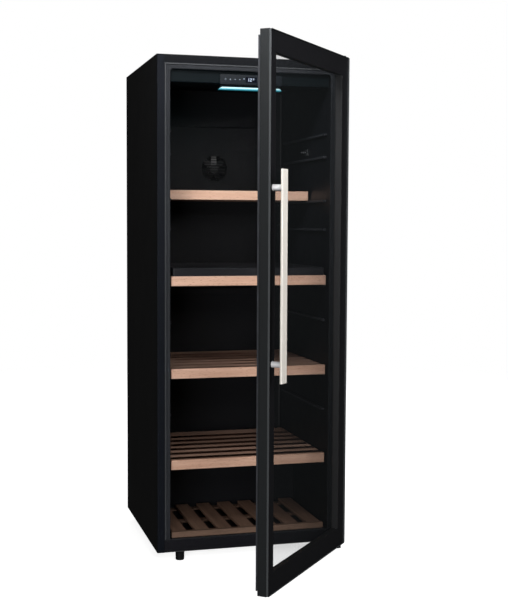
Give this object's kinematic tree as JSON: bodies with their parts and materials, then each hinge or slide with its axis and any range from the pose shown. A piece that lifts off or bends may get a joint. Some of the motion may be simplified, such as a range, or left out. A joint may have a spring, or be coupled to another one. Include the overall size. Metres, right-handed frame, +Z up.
{
  "type": "wine cooler",
  "caption": "Tall free-standing wine cooler with a hinged framed glass door, vertical bar handle, sliding wooden shelves, lit control panel and levelling feet.",
  "frame": {"origin": "on the floor, midway between the four levelling feet, under the middle of the cabinet", "axes": "+X to the right seen from the front, the door on the -Y side, +Z up"},
  "size_m": [0.6811, 1.2368, 1.771],
  "materials": {
    "cabinet_black": "satin",
    "flange_steel": "satin",
    "rear_steel": "matte",
    "liner_dark": "gloss",
    "foam": "matte",
    "trim_grey": "satin",
    "sill_black": "satin",
    "beech": "satin",
    "rack_wood": "satin",
    "tray_black": "satin",
    "ledge_black": "satin",
    "housing_teal": "satin",
    "panel_gloss": "gloss",
    "display": "gloss",
    "board_green": "satin",
    "lamp_board": "satin",
    "lamp_lens": "satin",
    "probe_grey": "satin",
    "duct_plastic": "satin",
    "bare_aluminium": "satin",
    "fan_black": "satin",
    "compressor_black": "satin",
    "rubber_black": "matte",
    "condenser_black": "satin",
    "copper": "satin",
    "tray_grey": "satin",
    "inlet_black": "satin",
    "zinc_steel": "satin",
    "hinge_black": "satin",
    "foot_black": "satin",
    "clear_glass": "gloss",
    "frame_dark": "satin",
    "spacer_dark": "satin",
    "gasket_grey": "matte",
    "bush_white": "satin",
    "handle_steel": "satin"
  },
  "bodies": {
    "cabinet": {"side_panel_left": "cabinet_black", "side_panel_right": "cabinet_black", "top_panel": "cabinet_black", "back_panel": "rear_steel", "base_pan": "rear_steel", "inner_liner": "liner_dark", "insulation_foam": "foam", "opening_collar": "trim_grey", "bottom_sill": "sill_black", "shelf_supports": "ledge_black", "floor_rack": "rack_wood", "control_housing": "housing_teal", "control_panel_cover": "panel_gloss", "display_window": "display", "control_board": "board_green", "light_strip": "lamp_board", "light_diffuser": "lamp_lens", "temperature_probe": "probe_grey", "evaporator_cover": "duct_plastic", "evaporator_coil": "bare_aluminium", "fan_motor": "zinc_steel", "compressor": "compressor_black", "compressor_bushes": "rubber_black", "condenser_coil": "condenser_black", "refrigerant_pipes": "copper", "filter_drier": "copper", "drip_tray": "tray_grey", "terminal_box": "inlet_black", "power_inlet": "inlet_black", "compressor_cover": "rear_steel", "rear_spacers": "ledge_black", "hinge_bracket_top": "hinge_black", "hinge_bracket_bottom": "hinge_black", "hinge_screws": "zinc_steel"},
    "door": {"door_outer_glass": "clear_glass", "door_inner_glass": "clear_glass", "glass_spacer": "spacer_dark", "door_stile_free": "frame_dark", "door_stile_hinge": "frame_dark", "door_rail_bottom": "frame_dark", "door_rail_top": "frame_dark", "door_gasket": "gasket_grey", "hinge_bushes": "bush_white", "stile_end_caps": "sill_black", "handle_bar": "handle_steel", "handle_posts": "handle_steel"},
    "shelf_a": {"shelf_a_front": "beech", "shelf_a_deck": "beech"},
    "shelf_b": {"shelf_b_front": "beech", "shelf_b_deck": "beech", "display_tray": "tray_black"},
    "shelf_c": {"shelf_c_front": "beech", "shelf_c_deck": "beech"},
    "shelf_d": {"shelf_d_front": "beech", "shelf_d_deck": "beech"},
    "fan": {"fan_impeller": "fan_black"},
    "foot_front_left": {"foot_front_left": "foot_black"},
    "foot_front_right": {"foot_front_right": "foot_black"},
    "foot_rear_left": {"foot_rear_left": "foot_black"},
    "foot_rear_right": {"foot_rear_right": "foot_black"}
  },
  "joints": [
    {"name": "door_hinge", "type": "hinge", "parent": "cabinet", "child": "door", "pos_m": [0.321, -0.354, 0.9], "axis": [0, 0, 1], "range_deg": [-49.5, 70.5]},
    {"name": "shelf_a_slide", "type": "slide", "parent": "cabinet", "child": "shelf_a", "axis": [0, -1, 0], "range_m": [0, 0.2]},
    {"name": "shelf_b_slide", "type": "slide", "parent": "cabinet", "child": "shelf_b", "axis": [0, -1, 0], "range_m": [0, 0.05]},
    {"name": "shelf_c_slide", "type": "slide", "parent": "cabinet", "child": "shelf_c", "axis": [0, -1, 0], "range_m": [0, 0.05]},
    {"name": "shelf_d_slide", "type": "slide", "parent": "cabinet", "child": "shelf_d", "axis": [0, -1, 0], "range_m": [0, 0.05]},
    {"name": "fan_spin", "type": "hinge", "parent": "cabinet", "child": "fan", "pos_m": [0, 0.25, 1.4], "axis": [0, 1, 0], "continuous": true},
    {"name": "foot_front_left_turn", "type": "hinge", "parent": "cabinet", "child": "foot_front_left", "pos_m": [-0.25, -0.304, 0.02], "axis": [0, 0, 1], "continuous": true},
    {"name": "foot_front_right_turn", "type": "hinge", "parent": "cabinet", "child": "foot_front_right", "pos_m": [0.25, -0.304, 0.02], "axis": [0, 0, 1], "continuous": true},
    {"name": "foot_rear_left_turn", "type": "hinge", "parent": "cabinet", "child": "foot_rear_left", "pos_m": [-0.25, 0.304, 0.02], "axis": [0, 0, 1], "continuous": true},
    {"name": "foot_rear_right_turn", "type": "hinge", "parent": "cabinet", "child": "foot_rear_right", "pos_m": [0.25, 0.304, 0.02], "axis": [0, 0, 1], "continuous": true}
  ]
}
